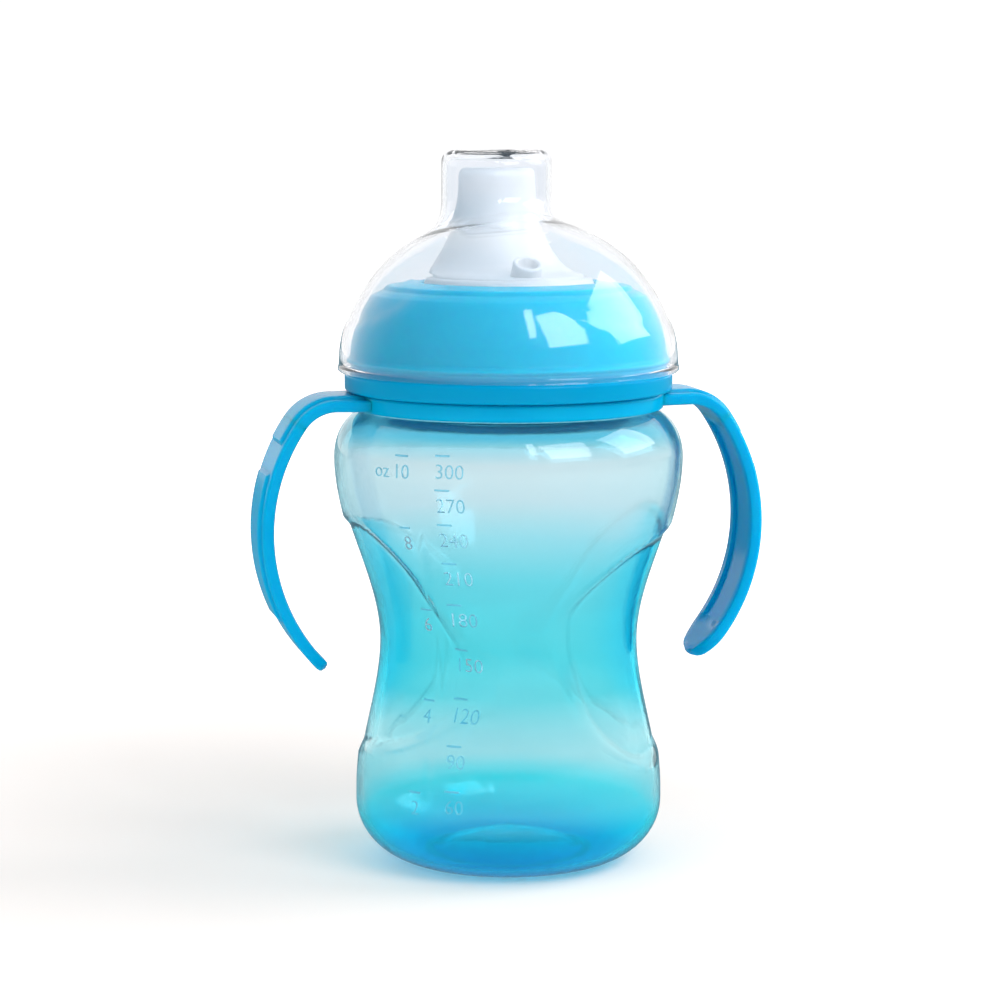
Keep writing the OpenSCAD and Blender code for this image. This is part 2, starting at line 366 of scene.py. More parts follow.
def add_label(bm, text, angle, z, size, centred=False):
    """Raised lettering wrapped on the bottle, its left end at the angle and its top at z."""
    curve = bpy.data.curves.new("label", "FONT")
    curve.body = text
    curve.size = size * MM
    curve.extrude = DIGIT_RISE * MM
    curve.offset = DIGIT_THINNING * MM
    curve.resolution_u = 3
    curve.align_x = "CENTER" if centred else "LEFT"
    curve.align_y = "TOP"
    holder = bpy.data.objects.new("label", curve)
    mesh = bpy.data.meshes.new_from_object(holder)
    first = len(bm.verts)
    bm.from_mesh(mesh)
    bm.verts.ensure_lookup_table()
    for v in bm.verts[first:]:
        u, h, lift = v.co / MM
        height = z + h
        a = angle + degrees(u / wall_r(angle, height))
        if height < SHOULDER_Z:
            r = wall_r(a, height)
        else:
            r = shoulder_r(height)
        r += MARK_LIFT + lift
        v.co = Vector((r * cos(radians(a)), r * sin(radians(a)), height)) * MM
    bpy.data.objects.remove(holder)
    bpy.data.curves.remove(curve)
    bpy.data.meshes.remove(mesh)


def shoulder_r(z):
    dome_light = min(1.0, (z - SHOULDER_Z) / SHOULDER_RISE)
    return SHOULDER_R - SHOULDER_RUN + SHOULDER_RUN * sqrt(1 - dome_light * dome_light)


def add_dash(bm, angle, z, width):
    """A raised dash that starts at the angle."""
    part = bmesh.new()
    bmesh.ops.create_cube(part, size=1)
    along = [e for e in part.edges if abs((e.verts[0].co - e.verts[1].co).x) > 0.5]
    bmesh.ops.subdivide_edges(part, edges=along, cuts=3, use_grid_fill=True)
    for v in part.verts:
        u = (v.co.x + 0.5) * width
        height = z + v.co.y * DASH_H
        a = angle + degrees(u / wall_r(angle, height))
        r = shoulder_r(height) if height > SHOULDER_Z else wall_r(a, height)
        r += MARK_LIFT + v.co.z * 2 * DIGIT_RISE
        v.co = Vector((r * cos(radians(a)), r * sin(radians(a)), height)) * MM
    absorb_part(bm, part)


def build_scale(material):
    bm = bmesh.new()
    for amount, z in ML_MARKS:
        add_dash(bm, ML_A, z, DASH_W)
        add_label(bm, str(amount), ML_A, z - DASH_GAP, DIGIT_SIZE)
    for amount, z in OZ_MARKS:
        add_dash(bm, OZ_DASH_A, z, SHORT_DASH_W if amount < 10 else DASH_W)
        add_label(bm, str(amount), OZ_A, z - DASH_GAP, DIGIT_SIZE, centred=True)
    add_label(bm, "oz", OZ_UNIT_A, OZ_MARKS[-1][1] - DASH_GAP, DIGIT_SIZE, centred=True)
    bmesh.ops.recalc_face_normals(bm, faces=bm.faces)
    finish_piece(bm, "volume_scale", "bottle", material, sharp=30)


# ---------------------------------------------------------------- handle ring

def pad_rise(a, y):
    """Height of the raised pads at an angle of the big bend and a distance from the strap's middle."""
    for low, high in PAD_SPANS:
        if low < a < high:
            end = radians(min(a - low, high - a)) * BEND_R
            edge = PAD_HALF_W - abs(y)
            return PAD_T * ease(min(end, edge) / PAD_EDGE + 0.2) if edge > -0.2 else 0
    return 0


def add_handle(bm, side):
    """One handle: a strap section swept up the big bend, over the tight bend and into the ring."""
    part = bmesh.new()
    outer_d = PAD_T
    half = STRAP_W / 2
    channel = CHANNEL_HALF_W
    sunk = STRAP_T - CHANNEL_DEPTH
    back = [(-channel - 0.5, STRAP_T), (-channel, sunk), (0, sunk), (channel, sunk), (channel + 0.5, STRAP_T)]
    front = [(y, 0) for y in (6.9, 6.5, 6.1, 5.7, 4, 2, 0, -2, -4, -5.7, -6.1, -6.5, -6.9)]
    rim = [(half - 0.35, 0.12), (half, 0.5), (half, STRAP_T - 0.9), (half - 0.3, STRAP_T - 0.25),
           (half - 0.9, STRAP_T)]
    left_rim = [(-y, d) for y, d in reversed(rim)]
    section = [(half - 0.9, 0)] + rim + back[::-1] + left_rim + [(-half + 0.9, 0)] + front[::-1]
    corners = []
    for y, d in section:
        r = BEND_R - outer_d - d
        a = radians(TIP_A)
        corners.append(part.verts.new(((BEND_X + r * cos(a)) * MM, y * MM, (BEND_Z + r * sin(a)) * MM)))
    face = part.faces.new(corners)
    centre = Vector((BEND_X, 0, BEND_Z)) * MM
    sweep = bmesh.ops.spin(part, geom=[face], cent=centre, axis=(0, -1, 0), angle=radians(MEET_A - TIP_A),
                           steps=84)
    last = [g for g in sweep["geom_last"] if isinstance(g, bmesh.types.BMFace)]
    for v in part.verts:
        x, y, z = v.co / MM
        a = degrees(atan2(z - BEND_Z, x - BEND_X))
        depth = BEND_R - hypot(x - BEND_X, z - BEND_Z)
        travel = radians(a - TIP_A) * BEND_R
        squeeze = 1.0
        if travel < half:
            squeeze = sqrt(max(0.0, 1 - (1 - travel / half) ** 2))
            squeeze = max(squeeze, TIP_LEAST)
        if travel < TIP_ROUND:
            middle = outer_d + STRAP_T / 2
            round_off = 1 - sqrt(max(0.03, 1 - (1 - travel / TIP_ROUND) ** 2))
            v.co.x += (depth - middle) * round_off * cos(radians(a)) * MM
            v.co.z += (depth - middle) * round_off * sin(radians(a)) * MM
        lift = pad_rise(a, y) if depth < outer_d + 0.05 else 0
        if depth > outer_d + 1.5:
            # The channel on the inside fades out before the tip and at the top
            flat_d = outer_d + STRAP_T
            fade = ease((a - TIP_A - 9) / 6) * ease((34 - a) / 5)
            if abs(y) < CHANNEL_HALF_W + 0.1 and depth < flat_d - 0.3:
                lift -= (flat_d - depth) * (1 - fade)
        v.co.x += lift * cos(radians(a)) * MM
        v.co.z += lift * sin(radians(a)) * MM
        v.co.y *= squeeze
    tight = Vector((TIGHT_X, 0, TIGHT_Z)) * MM
    sweep = bmesh.ops.spin(part, geom=last, cent=tight, axis=(0, -1, 0), angle=radians(90 - MEET_A), steps=14)
    last = [g for g in sweep["geom_last"] if isinstance(g, bmesh.types.BMFace)]
    push = bmesh.ops.extrude_face_region(part, geom=last)
    ends = [g for g in push["geom"] if isinstance(g, bmesh.types.BMVert)]
    bmesh.ops.translate(part, verts=ends, vec=Vector((RING_R - 2 - TIGHT_X, 0, 0)) * MM)
    bmesh.ops.delete(part, geom=last, context="FACES_ONLY")
    # The root flares out where it meets the ring
    for v in part.verts:
        x = v.co.x / MM
        if x < TIGHT_X + 2 and v.co.z / MM > 100:
            v.co.y *= 1 + ROOT_FLARE * ease((TIGHT_X + 2 - x) / (TIGHT_X + 2 - RING_R))
    bmesh.ops.recalc_face_normals(part, faces=part.faces)
    if side < 0:
        bmesh.ops.rotate(part, verts=part.verts, cent=(0, 0, 0), matrix=Matrix.Rotation(pi, 3, "Z"))
    absorb_part(bm, part)


def build_handle_ring(material):
    bm = spun([(31.2, RING_Z, 0.3), (RING_R - 0.2, RING_Z, 0.5), (RING_R, RING_Z + 0.6, 0.3),
               (RING_R, RING_TOP_Z - 0.5, 0.3), (RING_R - 0.4, RING_TOP_Z, 0.3), (31.2, RING_TOP_Z, 0.3)])
    for side in (1, -1):
        add_handle(bm, side)
    finish_piece(bm, "handle_ring_moulding", "handles", material, ["handle_ring"], sharp=38)


# ---------------------------------------------------------------- collar

def dome_points(inset, from_a, to_a, step):
    return [((CAP_R - inset) * cos(radians(a)), DOME_Z + (DOME_H - inset) * sin(radians(a)))
            for a in range(from_a, to_a + 1, step)]


def build_collar(material):
    dome = dome_points(2.5, 10, 30, 2)
    skirt = [(COLLAR_BORE_R, 108.0, 0.3), (36.8, 108.0, 0.5), (37.1, 108.5, 0.3), (37.1, 111.8, 0.4),
             (36.7, 112.2, 0.3), (35.9, 112.2, 0.2), (35.9, 114.1, 0.3), (36.6, 114.8, 0.3),
             (36.6, 115.2, 0.3), (35.8, 116.0, 0.4)]
    top = [(*dome[-1], 0.4), (29.5, 130.3, 0.3), (28.3, 130.7, 0.3), (27.5, 131.7, 0.4), (21.3, 132.5, 0.4)]
    opening = [(19.95, 132.1, 0.4), (19.95, 130.9, 0.2), (25.4, 130.7), (27.4, 128.6), (27.4, 122.2, 0.2),
               (COLLAR_BORE_R, 122.2, 0.3)]
    bm = spun(skirt + dome[:-1] + top + opening, steps=COLLAR_STEPS)
    finish_piece(bm, "collar_moulding", "collar", material, ["collar"], sharp=38)
    bm = bmesh.new()
    add_thread(bm, COLLAR_BORE_R + 0.4, 30.05, 107.75, 200)
    finish_piece(bm, "collar_thread", "collar", material)


# ---------------------------------------------------------------- spout

TIP_OUTER = [(17.4, 133.9), (15.4, 134.3), (13.6, 135.2), (12.2, 136.6), (10.9, 138.4), (9.6, 140.8),
             (8.5, 143.4), (7.6, 146.2), (6.9, 149.2), (6.5, 152.2), (6.4, 154.2), (6.4, 155.8),
             (6.2, 156.8), (5.7, 157.5), (5.0, 157.8), (4.3, 157.75), (3.9, 157.3), (3.7, 156),
             (3.6, 154.6), (3.3, 154.1), (2.6, 154), (0, 154)]
TIP_INNER = [(0, 152.4), (2.8, 152.4), (3.6, 152.2), (4.5, 151.5), (5.1, 149), (5.9, 145.8), (7.2, 141.8),
             (8.8, 138.2), (10.2, 136), (11.8, 134.4), (13.6, 133.3), (15.6, 132.6)]
TIP_NEAR_R = 13.8
TIP_FAR_R = 18.6
TIP_LOW_Z = 131
OUTER_FIT_R = 18.9
INNER_FIT_R = 17.3
FIT_BAND = 1.4


def shift_to_tip(bm):
    """Moves the tip to the spout's own axis, stretches it to an oval and keeps the back of its flare
    inside the collar's opening."""
    for v in bm.verts:
        x, y, z = v.co / MM
        r = hypot(x, y)
        share = ease((TIP_FAR_R - r) / (TIP_FAR_R - TIP_NEAR_R)) if z > TIP_LOW_Z else 0
        if share == 0:
            continue
        if r > 1e-6:
            x += SPOUT_FLAT * share * min(1, r / 4) * x / r
        y += SPOUT_SHIFT * share
        place = hypot(x, y)
        fit = OUTER_FIT_R if z > inner_top(r) else INNER_FIT_R
        if place > fit - FIT_BAND:
            held = fit - FIT_BAND * exp(-(place - fit + FIT_BAND) / FIT_BAND)
            x *= held / place
            y *= held / place
        v.co = Vector((x, y, z)) * MM


def inner_top(r):
    """Height that parts the outside of the spout's tip from its inside, at a distance from its axis."""
    height = TIP_INNER[0][1]
    for (r0, z0), (r1, z1) in zip(TIP_INNER, TIP_INNER[1:]):
        if r0 <= r <= r1:
            height = mix(z0, z1, (r - r0) / (r1 - r0))
    return height + 0.7


def build_spout(material, slit_material):
    outline = [(25.2, 116.5, 0.3), (27.15, 116.5, 0.3), (27.3, 120.05, 0.1), (30.6, 120.05, 0.4),
               (30.6, 122, 0.4), (26.9, 122, 0.3), (26.6, 125.6, 0.8), (25, 128.5, 0.8), (22.4, 130, 0.6),
               (19.5, 130.4, 0.3), (19.4, 132.0, 0.5), (18.8, 133.3, 0.6)]
    inside = [(17.2, 132.3, 0.5), (17.2, 131.4, 0.4), (17.7, 128.8, 0.5), (21.6, 128.2, 0.6),
              (23.4, 127, 0.6), (24.8, 124.8, 0.8), (25.2, 121.5, 0.5)]
    bm = spun(outline + TIP_OUTER + TIP_INNER + inside, steps=144)
    shift_to_tip(bm)
    turned(bm, SPOUT_TURN)
    finish_piece(bm, "spout_moulding", "spout", material, ["spout"], sharp=45)

    # Vent button with a sunk well
    vent = [(0, -1.5), (3.7, -1.5), (3.45, 0.4, 0.4), (3.3, 2.4), (3.3, 4.2, 0.45), (2.3, 4.2, 0.4),
            (2.05, 2.0, 0.5), (0.5, 1.5, 0.1), (0.4, 0.6), (0, 0.6)]
    bm = spun(vent, steps=64)
    lean = Matrix.Rotation(radians(VENT_LEAN), 4, "X")
    place = Matrix.Translation(Vector((0, VENT_Y, VENT_Z)) * MM)
    turn = Matrix.Rotation(radians(SPOUT_TURN), 4, "Z")
    bmesh.ops.transform(bm, matrix=turn @ place @ lean, verts=bm.verts)
    finish_piece(bm, "spout_vent", "spout", material, sharp=45)

    # Painted shade: a dark sliver stands in for the shadow inside the drinking slit
    bm = bmesh.new()
    bmesh.ops.create_cube(bm, size=1)
    bmesh.ops.scale(bm, vec=Vector(SLIT_SIZE) * MM, verts=bm.verts)
    bmesh.ops.bevel(bm, geom=bm.edges[:], offset=0.08 * MM, segments=2, profile=0.5, affect="EDGES",
                    material=-1)
    bmesh.ops.translate(bm, vec=Vector((0, SPOUT_SHIFT, SLIT_Z)) * MM, verts=bm.verts)
    turned(bm, SPOUT_TURN)
    finish_piece(bm, "spout_slit", "spout", slit_material)


# ---------------------------------------------------------------- overcap

def dome_z(r, inset=0):
    share = min(1.0, r / (CAP_R - inset))
    return DOME_Z + (DOME_H - inset) * sqrt(1 - share * share)


def cap_shell(inset):
    """Outline from the rim over the dome and up the neck, drawn in by the wall."""
    points = []
    start_r = CAP_R - inset
    dome_steps = 26
    for i in range(dome_steps + 1):
        a = radians(mix(0, 66.0, i / dome_steps))
        points.append((start_r * cos(a), DOME_Z + (DOME_H - inset) * sin(a)))
    top = CUP_H - inset
    neck = CAP_NECK_R - inset
    fillet = CAP_FILLET_R + inset
    fillet_x = CAP_NECK_R + CAP_FILLET_R
    fillet_steps = 12
    for i in range(1, fillet_steps + 1):
        a = radians(mix(228, 180, i / fillet_steps))
        points.append((fillet_x + fillet * cos(a), CAP_FILLET_Z + fillet * sin(a)))
    neck_steps = 5
    for i in range(1, neck_steps + 1):
        points.append((neck, mix(CAP_FILLET_Z, top - CAP_TOP_CORNER, i / neck_steps)))
    corner = CAP_TOP_CORNER - inset * 0.4
    corner_steps = 7
    for i in range(1, corner_steps + 1):
        a = radians(90 * i / corner_steps)
        points.append((neck - corner + corner * cos(a), top - corner + corner * sin(a)))
    points += [(neck - corner - 0.4, top), (3, top), (0, top)]
    return points


def build_overcap(material):
    outer = cap_shell(0)
    inner = cap_shell(CAP_WALL)
    rim = [(36.75, CAP_Z + 0.3), (36.95, CAP_Z), (38.3, CAP_Z), (38.62, CAP_Z + 0.3), (38.66, CAP_Z + 0.75),
           (38.5, CAP_Z + 1.2)]
    lip = [(37.1, CAP_Z + 1.3), (36.75, CAP_Z + 0.9)]
    bm = spun(rim + outer, steps=COLLAR_STEPS, closed=False)
    shape_cap(bm, 0)
    inside = spun(inner[::-1] + lip + [rim[0]], steps=COLLAR_STEPS, closed=False)
    shape_cap(inside, CAP_WALL)
    absorb_part(bm, inside)
    bmesh.ops.remove_doubles(bm, verts=bm.verts, dist=1e-6)
    bmesh.ops.recalc_face_normals(bm, faces=bm.faces)
    turned(bm, SPOUT_TURN)
    finish_piece(bm, "overcap_moulding", "overcap", material, ["overcap"], sharp=50)


def shape_cap(bm, inset):
    """Shifts the neck to the spout's axis, lays its root on the dome and presses the two side scoops."""
    join_z = dome_z(CAP_JOIN_R, inset)
    for v in bm.verts:
        x, y, z = v.co / MM
        r = hypot(x, y)
        share = ease((CAP_BLEND_R - r) / (CAP_BLEND_R - CAP_JOIN_R)) if z > 120 else 0
        on_dome = r >= CAP_JOIN_R - 0.01 and z > DOME_Z + 0.1
        if share > 0 and r > 1e-6:
            x += SPOUT_FLAT * share * min(1, r / 5) * x / r
            y += SPOUT_SHIFT * share
        if on_dome:
            z = dome_z(hypot(x, y), inset)
        elif z > 140:
            # The neck's root follows the dome's slope and levels out up the fillet
            a = atan2(y - SPOUT_SHIFT, x)
            root = hypot((CAP_JOIN_R + SPOUT_FLAT) * cos(a), SPOUT_SHIFT + CAP_JOIN_R * sin(a))
            z += (dome_z(root, inset) - join_z) * (1 - ease((z - join_z) / (155 - join_z)))
        place = hypot(x, y)
        if place > 1e-6 and DOME_Z < z < 142:
            angle = degrees(atan2(y, x))
            across = (angle - SCOOP_TURN + SPOUT_TURN + 90) % 180 - 90
            edge = SCOOP_Z + 5.5 * (across / SCOOP_HALF) ** 4
            upright = ease((z - edge) / 1.1) * ease((141 - z) / 12)
            depth = SCOOP_DEPTH * upright * ease((SCOOP_HALF + 8 - abs(across)) / 12)
            x -= depth * x / place
            y -= depth * y / place
        v.co = Vector((x, y, z)) * MM


# ---------------------------------------------------------------- materials

def moulded_surface_group():
    """Shared finish of moulded plastic: faint flow marks in the gloss and a slight waviness."""
    group = bpy.data.node_groups.new("moulded_surface", "ShaderNodeTree")
    group.interface.new_socket("Scale", in_out="INPUT", socket_type="NodeSocketFloat")
    group.interface.new_socket("Gloss Low", in_out="INPUT", socket_type="NodeSocketFloat")
    group.interface.new_socket("Gloss High", in_out="INPUT", socket_type="NodeSocketFloat")
    group.interface.new_socket("Wave", in_out="INPUT", socket_type="NodeSocketFloat")
    group.interface.new_socket("Roughness", in_out="OUTPUT", socket_type="NodeSocketFloat")
    group.interface.new_socket("Mask", in_out="OUTPUT", socket_type="NodeSocketFloat")
    group.interface.new_socket("Normal", in_out="OUTPUT", socket_type="NodeSocketVector")
    nodes, links = group.nodes, group.links
    inputs = nodes.new("NodeGroupInput")
    outputs = nodes.new("NodeGroupOutput")
    place = nodes.new("ShaderNodeTexCoord")
    flow = nodes.new("ShaderNodeTexNoise")
    flow.inputs["Detail"].default_value = 3
    flow.inputs["Roughness"].default_value = 0.55
    links.new(place.outputs["Object"], flow.inputs["Vector"])
    links.new(inputs.outputs["Scale"], flow.inputs["Scale"])
    gloss = nodes.new("ShaderNodeMapRange")
    gloss.inputs["From Min"].default_value = 0.3
    gloss.inputs["From Max"].default_value = 0.7
    links.new(flow.outputs["Fac"], gloss.inputs["Value"])
    links.new(inputs.outputs["Gloss Low"], gloss.inputs["To Min"])
    links.new(inputs.outputs["Gloss High"], gloss.inputs["To Max"])
    wave = nodes.new("ShaderNodeBump")
    wave.inputs["Distance"].default_value = 0.0004
    links.new(flow.outputs["Fac"], wave.inputs["Height"])
    links.new(inputs.outputs["Wave"], wave.inputs["Strength"])
    links.new(gloss.outputs["Result"], outputs.inputs["Roughness"])
    links.new(flow.outputs["Fac"], outputs.inputs["Mask"])
    links.new(wave.outputs["Normal"], outputs.inputs["Normal"])
    return group


def plastic(name, surface, scale, gloss, wave, **constants):
    """A material with one Principled shader and the shared moulded finish."""
    material = bpy.data.materials.new(name)
    material.use_nodes = True
    nodes, links = material.node_tree.nodes, material.node_tree.links
    shader = nodes["Principled BSDF"]
    for socket, value in constants.items():
        shader.inputs[socket.replace("_", " ")].default_value = value
    finish = nodes.new("ShaderNodeGroup")
    finish.node_tree = surface
    finish.inputs["Scale"].default_value = scale
    finish.inputs["Gloss Low"].default_value = gloss[0]
    finish.inputs["Gloss High"].default_value = gloss[1]
    finish.inputs["Wave"].default_value = wave
    links.new(finish.outputs["Roughness"], shader.inputs["Roughness"])
    links.new(finish.outputs["Normal"], shader.inputs["Normal"])
    return material, shader, finish


def tint(material, finish, shader, light, dark):
    """Slight cloudiness in the colour."""
    nodes, links = material.node_tree.nodes, material.node_tree.links
    ramp = nodes.new("ShaderNodeValToRGB")
    ramp.color_ramp.elements[0].position = 0.3
    ramp.color_ramp.elements[0].color = (*dark, 1)
    ramp.color_ramp.elements[1].position = 0.7
    ramp.color_ramp.elements[1].color = (*light, 1)
    links.new(finish.outputs["Mask"], ramp.inputs["Fac"])
    links.new(ramp.outputs["Color"], shader.inputs["Base Color"])


def collar_colour(material, finish, shader):
    """The collar's dome is painted a little lighter than its skirt, to make up for the light the clear
    overcap takes from it, with the same cloudiness.
    """
    nodes, links = material.node_tree.nodes, material.node_tree.links
    place = nodes.new("ShaderNodeTexCoord")
    height = nodes.new("ShaderNodeSeparateXYZ")
    links.new(place.outputs["Object"], height.inputs["Vector"])
    # Painted light: above the skirt the dome takes the lighter colour
    dome_light = nodes.new("ShaderNodeMapRange")
    dome_light.inputs["From Min"].default_value = 0.1125
    dome_light.inputs["From Max"].default_value = 0.1145
    links.new(height.outputs["Z"], dome_light.inputs["Value"])
    cloud = nodes.new("ShaderNodeMapRange")
    cloud.inputs["From Min"].default_value = 0.3
    cloud.inputs["From Max"].default_value = 0.7
    cloud.inputs["To Min"].default_value = 0
    cloud.inputs["To Max"].default_value = 0.1
    links.new(finish.outputs["Mask"], cloud.inputs["Value"])
    share = nodes.new("ShaderNodeMath")
    share.operation = "SUBTRACT"
    links.new(dome_light.outputs["Result"], share.inputs[0])
    links.new(cloud.outputs["Result"], share.inputs[1])
    ramp = nodes.new("ShaderNodeValToRGB")
    ramp.color_ramp.elements[0].color = (0.0, 0.27, 0.48, 1)
    ramp.color_ramp.elements[1].color = (0.0, 0.44, 0.62, 1)
    links.new(share.outputs["Value"], ramp.inputs["Fac"])
    links.new(ramp.outputs["Color"], shader.inputs["Base Color"])


def see_through(material, shader, shade):
    """Lets light reach what is inside: shadow rays pass with a little shade."""
    nodes, links = material.node_tree.nodes, material.node_tree.links
    output = nodes["Material Output"]
    path = nodes.new("ShaderNodeLightPath")
    clear = nodes.new("ShaderNodeBsdfTransparent")
    clear.inputs["Color"].default_value = (*shade, 1)
    blend = nodes.new("ShaderNodeMixShader")
    links.new(path.outputs["Is Shadow Ray"], blend.inputs["Fac"])
    links.new(shader.outputs["BSDF"], blend.inputs[1])
    links.new(clear.outputs["BSDF"], blend.inputs[2])
    links.new(blend.outputs["Shader"], output.inputs["Surface"])


# Colour of the bottle by height, as shares of the ramp's height: the plastic's blue with painted light, the
# pale bands being painted reflections of the white studio and the deep blue at the foot painted shade of the
# thick base
TINT_AND_LIGHT_H = 0.1
BOTTLE_TINT_AND_LIGHT = (
    (0.05, (0.0, 0.72, 0.92)),
    (0.11, (0.02, 0.86, 0.95)),
    (0.17, (0.66, 0.90, 0.92)),
    (0.30, (0.86, 0.93, 0.93)),
    (0.42, (0.27, 0.78, 0.82)),
    (0.60, (0.37, 0.77, 0.81)),
    (0.69, (0.42, 0.76, 0.81)),
    (0.78, (0.76, 0.78, 0.81)),
    (0.86, (0.86, 0.82, 0.83)),
    (0.95, (0.92, 0.85, 0.85)),
)


def bottle_material(surface):
    material, shader, finish = plastic("bottle_blue", surface, 55, (0.03, 0.08), 0.25,
                                       IOR=1.49, Specular_IOR_Level=0.3, Transmission_Weight=0.96)
    nodes, links = material.node_tree.nodes, material.node_tree.links
    place = nodes.new("ShaderNodeTexCoord")
    height = nodes.new("ShaderNodeSeparateXYZ")
    links.new(place.outputs["Object"], height.inputs["Vector"])
    # Painted light: the colour ramp by height lays painted reflections and painted shade over the plastic's
    # blue
    tint_and_light_by_height = nodes.new("ShaderNodeMapRange")
    tint_and_light_by_height.inputs["From Max"].default_value = TINT_AND_LIGHT_H
    links.new(height.outputs["Z"], tint_and_light_by_height.inputs["Value"])
    ramp = nodes.new("ShaderNodeValToRGB")
    stops = ramp.color_ramp.elements
    stops[0].color = (0.0, 0.60, 0.96, 1)
    stops[1].color = (0.42, 0.78, 0.88, 1)
    for position, colour in BOTTLE_TINT_AND_LIGHT:
        stops.new(position).color = (*colour, 1)
    links.new(tint_and_light_by_height.outputs["Result"], ramp.inputs["Fac"])
    # Painted shade: the bottle's colour deepens in the grip recesses
    grip_shade_attr = nodes.new("ShaderNodeAttribute")
    grip_shade_attr.attribute_name = "grip"
    shade_grips = nodes.new("ShaderNodeMix")
    shade_grips.data_type = "RGBA"
    shade_grips.inputs[7].default_value = (0.0, 0.72, 0.87, 1)
    links.new(grip_shade_attr.outputs["Fac"], shade_grips.inputs[0])
    links.new(ramp.outputs["Color"], shade_grips.inputs[6])
    links.new(shade_grips.outputs[2], shader.inputs["Base Color"])
    absorb = nodes.new("ShaderNodeVolumeAbsorption")
    absorb.inputs["Color"].default_value = (0.0, 0.88, 0.985, 1)
    absorb.inputs["Density"].default_value = 150
    links.new(absorb.outputs["Volume"], nodes["Material Output"].inputs["Volume"])
    see_through(material, shader, (0.75, 0.76, 0.77))
    return material


def floor_material(surface):
    paper, shader, finish = plastic("studio_floor", surface, 6, (0.7, 0.8), 0.0)
    tint(paper, finish, shader, (0.94, 0.90, 0.88), (0.93, 0.89, 0.87))
    shader.inputs["Emission Color"].default_value = (1, 1, 1, 1)
    nodes, links = paper.node_tree.nodes, paper.node_tree.links
    place = nodes.new("ShaderNodeTexCoord")
    away = nodes.new("ShaderNodeVectorMath")
    away.operation = "LENGTH"
    links.new(place.outputs["Object"], away.inputs[0])
    # Painted light: the floor glows, faintly near the cup and more strongly away from it, so it reads white
    # far off and stays darker around the cup
    floor_glow = nodes.new("ShaderNodeMapRange")
    floor_glow.inputs["From Min"].default_value = 0.08
    floor_glow.inputs["From Max"].default_value = 0.5
    floor_glow.inputs["To Min"].default_value = 0.05
    floor_glow.inputs["To Max"].default_value = 0.7
    links.new(away.outputs["Value"], floor_glow.inputs["Value"])
    links.new(floor_glow.outputs["Result"], shader.inputs["Emission Strength"])
    shader.inputs["Specular IOR Level"].default_value = 0.1
    # Reflections find a dimmer floor, and what is seen through the cup finds the bright one
    path = nodes.new("ShaderNodeLightPath")
    mirrored = nodes.new("ShaderNodeMath")
    mirrored.operation = "SUBTRACT"
    mirrored.use_clamp = True
    links.new(path.outputs["Is Glossy Ray"], mirrored.inputs[0])
    links.new(path.outputs["Is Transmission Ray"], mirrored.inputs[1])
    dim = nodes.new("ShaderNodeEmission")
    dim.inputs["Color"].default_value = (0.20, 0.36, 0.44, 1)
    blend = nodes.new("ShaderNodeMixShader")
    links.new(mirrored.outputs["Value"], blend.inputs["Fac"])
    links.new(shader.outputs["BSDF"], blend.inputs[1])
    links.new(dim.outputs["Emission"], blend.inputs[2])
    links.new(blend.outputs["Shader"], nodes["Material Output"].inputs["Surface"])
    return paper


def build_materials():
    surface = moulded_surface_group()
    made = {"bottle": bottle_material(surface)}
    mark, shader, finish = plastic("bottle_marks", surface, 55, (0.14, 0.20), 0.2, IOR=1.49,
                                   Specular_IOR_Level=0.3, Transmission_Weight=0.85)
    tint(mark, finish, shader, (0.42, 0.78, 0.90), (0.36, 0.74, 0.88))
    see_through(mark, shader, (0.95, 0.97, 0.98))
    made["mark"] = mark
    opaque = {"IOR": 1.49, "Subsurface_Weight": 0.6, "Subsurface_Radius": (0.2, 0.6, 1.0),
              "Subsurface_Scale": 0.005, "Specular_IOR_Level": 0.1}
    cyan, shader, finish = plastic("cyan_glossy", surface, 70, (0.14, 0.24), 0.2, **opaque)
    tint(cyan, finish, shader, (0.0, 0.36, 0.62), (0.0, 0.33, 0.59))
    made["cyan"] = cyan
    dome, shader, finish = plastic("cyan_dome", surface, 70, (0.14, 0.24), 0.2, **opaque)
    collar_colour(dome, finish, shader)
    made["dome"] = dome
    clear, shader, finish = plastic("overcap_clear", surface, 45, (0.02, 0.06), 0.3, IOR=1.25,
                                    Specular_IOR_Level=1.0, Coat_Weight=0.45, Coat_Roughness=0.05,
                                    Transmission_Weight=0.985)
    tint(clear, finish, shader, (0.95, 0.96, 0.98), (0.92, 0.93, 0.96))
    see_through(clear, shader, (0.95, 0.96, 0.97))
    made["clear"] = clear
    soft, shader, finish = plastic("spout_silicone", surface, 90, (0.30, 0.42), 0.3, IOR=1.41,
                                   Transmission_Weight=0.35, Subsurface_Weight=0.25,
                                   Subsurface_Radius=(1.0, 1.0, 1.0), Subsurface_Scale=0.004)
    tint(soft, finish, shader, (0.80, 0.78, 0.78), (0.74, 0.74, 0.75))
    see_through(soft, shader, (0.75, 0.80, 0.82))
    made["soft"] = soft
    slit, shader, finish = plastic("slit_shadow", surface, 90, (0.5, 0.6), 0.1)
    tint(slit, finish, shader, (0.30, 0.36, 0.38), (0.22, 0.28, 0.30))
    made["slit"] = slit
    made["floor"] = floor_material(surface)
    return made


# ---------------------------------------------------------------- studio

CAMERA_A = -12.5
CAMERA_D = 720
CAMERA_H = 178
AIM_Z = 82.6
AIM_LEFT = 1.92
FOCAL = 114.8


def camera_frame():
    """Directions to the camera's right and away from the object towards the camera, on the floor."""
    a = radians(CAMERA_A)
    return Vector((cos(a), sin(a), 0)), Vector((sin(a), -cos(a), 0))


def look(obj, at):
    obj.rotation_euler = (Vector(at) - obj.location).to_track_quat("-Z", "Y").to_euler()


